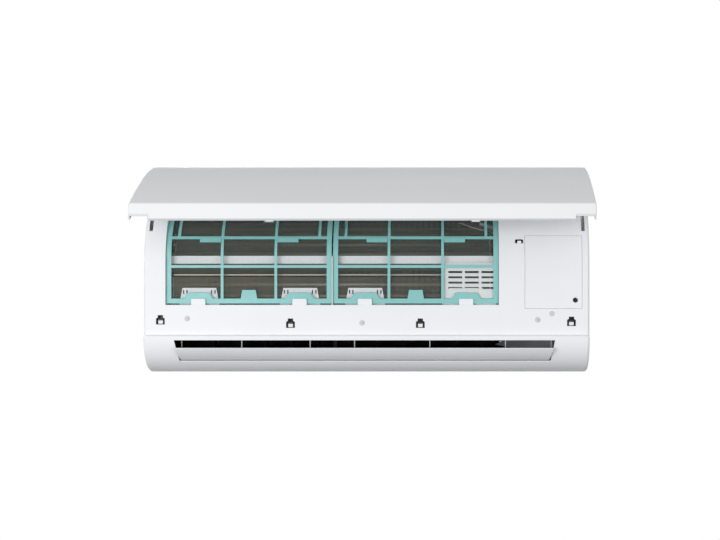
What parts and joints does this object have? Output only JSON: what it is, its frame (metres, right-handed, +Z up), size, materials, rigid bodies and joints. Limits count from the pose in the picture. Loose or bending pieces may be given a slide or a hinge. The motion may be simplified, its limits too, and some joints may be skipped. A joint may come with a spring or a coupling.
{
  "type": "mini split indoor unit",
  "caption": "Wall-mounted indoor unit of a mini split air conditioner, its front panel raised over two lift-out filters, with coil, fan, vanes and flap.",
  "frame": {"origin": "on the wall behind the unit, at the middle of the wall plate's four screw holes, half way along the unit and half way up it", "axes": "+X along the unit to its electrical end (right, seen from the front), -Y forward out of the wall and +Y into it, +Z up"},
  "size_m": [0.722, 0.2811, 0.3391],
  "materials": {
    "bearing_rubber": "black rubber",
    "black_plastic": "matte black",
    "black_steel": "blackened screw",
    "board": "printed circuit laminate",
    "box_plastic": "matte grey",
    "cap_plastic": "matte light grey",
    "capacitor_can": "sleeved can",
    "casing_plastic": "glossy, cool white",
    "chassis_plastic": "matte grey-white",
    "coil_fins": "coated thin fins",
    "copper": "bare copper tube",
    "duct_plastic": "matte black",
    "fan_plastic": "matte dark grey",
    "filter_mesh": "fine woven net",
    "filter_teal": "satin teal",
    "flap_plastic": "satin white",
    "grey_plastic": "matte grey",
    "hose_plastic": "soft white",
    "motor_steel": "plain pressed steel",
    "panel_plastic": "glossy, cool white",
    "pipe_foam": "closed-cell foam",
    "terminal_plastic": "matte black",
    "union_brass": "turned brass",
    "vane_plastic": "matte black",
    "white_plastic": "matte white",
    "zinc_steel": "galvanised sheet"
  },
  "bodies": {
    "unit": {"capacitors": "capacitor_can", "coil_front_fins": "coil_fins", "coil_left_bends": "copper", "coil_left_plates": "zinc_steel", "coil_rear_fins": "coil_fins", "coil_right_bends": "copper", "coil_right_plates": "zinc_steel", "coil_upper_fins": "coil_fins", "control_board": "board", "cover_screw": "black_steel", "drain_pipe": "hose_plastic", "drain_tray": "chassis_plastic", "duct_cheek": "grey_plastic", "electrical_box": "box_plastic", "electrical_cover": "casing_plastic", "fan_bearing": "bearing_rubber", "fan_motor": "motor_steel", "flap_motor": "motor_steel", "flare_unions": "union_brass", "foam_sleeve": "pipe_foam", "front_casing": "casing_plastic", "gas_pipe": "copper", "guard_bars": "white_plastic", "intake_grille": "casing_plastic", "latch_catches": "white_plastic", "latch_sockets": "black_plastic", "liquid_pipe": "copper", "motor_clamp": "zinc_steel", "outlet_duct": "duct_plastic", "rear_chassis": "chassis_plastic", "screw_caps": "cap_plastic", "side_grille": "white_plastic", "switch_block": "terminal_plastic", "terminal_block": "terminal_plastic", "wall_plate": "zinc_steel"},
    "front_panel": {"front_panel": "panel_plastic"},
    "filter_left": {"filter_left_frame": "filter_teal", "filter_left_net": "filter_mesh"},
    "filter_right": {"filter_right_frame": "filter_teal", "filter_right_net": "filter_mesh"},
    "flap": {"flap": "flap_plastic"},
    "fan": {"fan_rotor": "fan_plastic"},
    "button": {"manual_button": "cap_plastic"},
    "vane_left_1": {"vane_left_1": "vane_plastic"},
    "vane_left_2": {"vane_left_2": "vane_plastic"},
    "vane_left_3": {"vane_left_3": "vane_plastic"},
    "vane_left_4": {"vane_left_4": "vane_plastic"},
    "vane_left_5": {"vane_left_5": "vane_plastic"},
    "vane_left_6": {"vane_left_6": "vane_plastic"},
    "vane_left_link": {"vane_left_link": "vane_plastic"},
    "vane_right_1": {"vane_right_1": "vane_plastic"},
    "vane_right_2": {"vane_right_2": "vane_plastic"},
    "vane_right_3": {"vane_right_3": "vane_plastic"},
    "vane_right_4": {"vane_right_4": "vane_plastic"},
    "vane_right_5": {"vane_right_5": "vane_plastic"},
    "vane_right_6": {"vane_right_6": "vane_plastic"},
    "vane_right_link": {"vane_right_link": "vane_plastic"}
  },
  "joints": [
    {"name": "panel_hinge", "type": "hinge", "parent": "unit", "child": "front_panel", "pos_m": [0, -0.078, 0.098], "axis": [1, 0, 0], "range_deg": [0, 64]},
    {"name": "filter_left_lift", "type": "slide", "parent": "unit", "child": "filter_left", "axis": [0, 0, 1], "range_m": [0, 0.005]},
    {"name": "filter_right_lift", "type": "slide", "parent": "unit", "child": "filter_right", "axis": [0, 0, 1], "range_m": [0, 0.005]},
    {"name": "flap_hinge", "type": "hinge", "parent": "unit", "child": "flap", "pos_m": [0, -0.158, -0.113], "axis": [1, 0, 0], "range_deg": [-28, 45]},
    {"name": "fan_spin", "type": "hinge", "parent": "unit", "child": "fan", "pos_m": [0, -0.084, -0.02], "axis": [1, 0, 0], "continuous": true},
    {"name": "button_press", "type": "slide", "parent": "unit", "child": "button", "axis": [0, 1, 0], "range_m": [0, 0.0015], "stiffness_N_per_m": 200},
    {"name": "vane_left_1_turn", "type": "hinge", "parent": "unit", "child": "vane_left_1", "pos_m": [-0.296, -0.112, -0.10729], "axis": [0, -0.365, 0.931], "range_deg": [-35, 35]},
    {"name": "vane_left_2_turn", "type": "hinge", "parent": "unit", "child": "vane_left_2", "pos_m": [-0.253, -0.112, -0.10729], "axis": [0, -0.365, 0.931], "range_deg": [-35, 35]},
    {"name": "vane_left_3_turn", "type": "hinge", "parent": "unit", "child": "vane_left_3", "pos_m": [-0.21, -0.112, -0.10729], "axis": [0, -0.365, 0.931], "range_deg": [-35, 35]},
    {"name": "vane_left_4_turn", "type": "hinge", "parent": "unit", "child": "vane_left_4", "pos_m": [-0.167, -0.112, -0.10729], "axis": [0, -0.365, 0.931], "range_deg": [-35, 35]},
    {"name": "vane_left_5_turn", "type": "hinge", "parent": "unit", "child": "vane_left_5", "pos_m": [-0.124, -0.112, -0.10729], "axis": [0, -0.365, 0.931], "range_deg": [-35, 35]},
    {"name": "vane_left_6_turn", "type": "hinge", "parent": "unit", "child": "vane_left_6", "pos_m": [-0.081, -0.112, -0.10729], "axis": [0, -0.365, 0.931], "range_deg": [-35, 35]},
    {"name": "vane_left_link_turn", "type": "hinge", "parent": "vane_left_1", "child": "vane_left_link", "pos_m": [-0.296, -0.10816, -0.08967], "axis": [0, -0.365, 0.931], "range_deg": [-35, 35]},
    {"name": "vane_right_1_turn", "type": "hinge", "parent": "unit", "child": "vane_right_1", "pos_m": [-0.028, -0.112, -0.10729], "axis": [0, -0.365, 0.931], "range_deg": [-35, 35]},
    {"name": "vane_right_2_turn", "type": "hinge", "parent": "unit", "child": "vane_right_2", "pos_m": [0.015, -0.112, -0.10729], "axis": [0, -0.365, 0.931], "range_deg": [-35, 35]},
    {"name": "vane_right_3_turn", "type": "hinge", "parent": "unit", "child": "vane_right_3", "pos_m": [0.058, -0.112, -0.10729], "axis": [0, -0.365, 0.931], "range_deg": [-35, 35]},
    {"name": "vane_right_4_turn", "type": "hinge", "parent": "unit", "child": "vane_right_4", "pos_m": [0.101, -0.112, -0.10729], "axis": [0, -0.365, 0.931], "range_deg": [-35, 35]},
    {"name": "vane_right_5_turn", "type": "hinge", "parent": "unit", "child": "vane_right_5", "pos_m": [0.144, -0.112, -0.10729], "axis": [0, -0.365, 0.931], "range_deg": [-35, 35]},
    {"name": "vane_right_6_turn", "type": "hinge", "parent": "unit", "child": "vane_right_6", "pos_m": [0.187, -0.112, -0.10729], "axis": [0, -0.365, 0.931], "range_deg": [-35, 35]},
    {"name": "vane_right_link_turn", "type": "hinge", "parent": "vane_right_1", "child": "vane_right_link", "pos_m": [-0.028, -0.10816, -0.08967], "axis": [0, -0.365, 0.931], "range_deg": [-35, 35]}
  ],
  "couplings": [
    {"joint": "vane_left_2_turn", "follows": "vane_left_1_turn", "ratio": 1},
    {"joint": "vane_left_3_turn", "follows": "vane_left_1_turn", "ratio": 1},
    {"joint": "vane_left_4_turn", "follows": "vane_left_1_turn", "ratio": 1},
    {"joint": "vane_left_5_turn", "follows": "vane_left_1_turn", "ratio": 1},
    {"joint": "vane_left_6_turn", "follows": "vane_left_1_turn", "ratio": 1},
    {"joint": "vane_left_link_turn", "follows": "vane_left_1_turn", "ratio": -1},
    {"joint": "vane_right_2_turn", "follows": "vane_right_1_turn", "ratio": 1},
    {"joint": "vane_right_3_turn", "follows": "vane_right_1_turn", "ratio": 1},
    {"joint": "vane_right_4_turn", "follows": "vane_right_1_turn", "ratio": 1},
    {"joint": "vane_right_5_turn", "follows": "vane_right_1_turn", "ratio": 1},
    {"joint": "vane_right_6_turn", "follows": "vane_right_1_turn", "ratio": 1},
    {"joint": "vane_right_link_turn", "follows": "vane_right_1_turn", "ratio": -1}
  ]
}
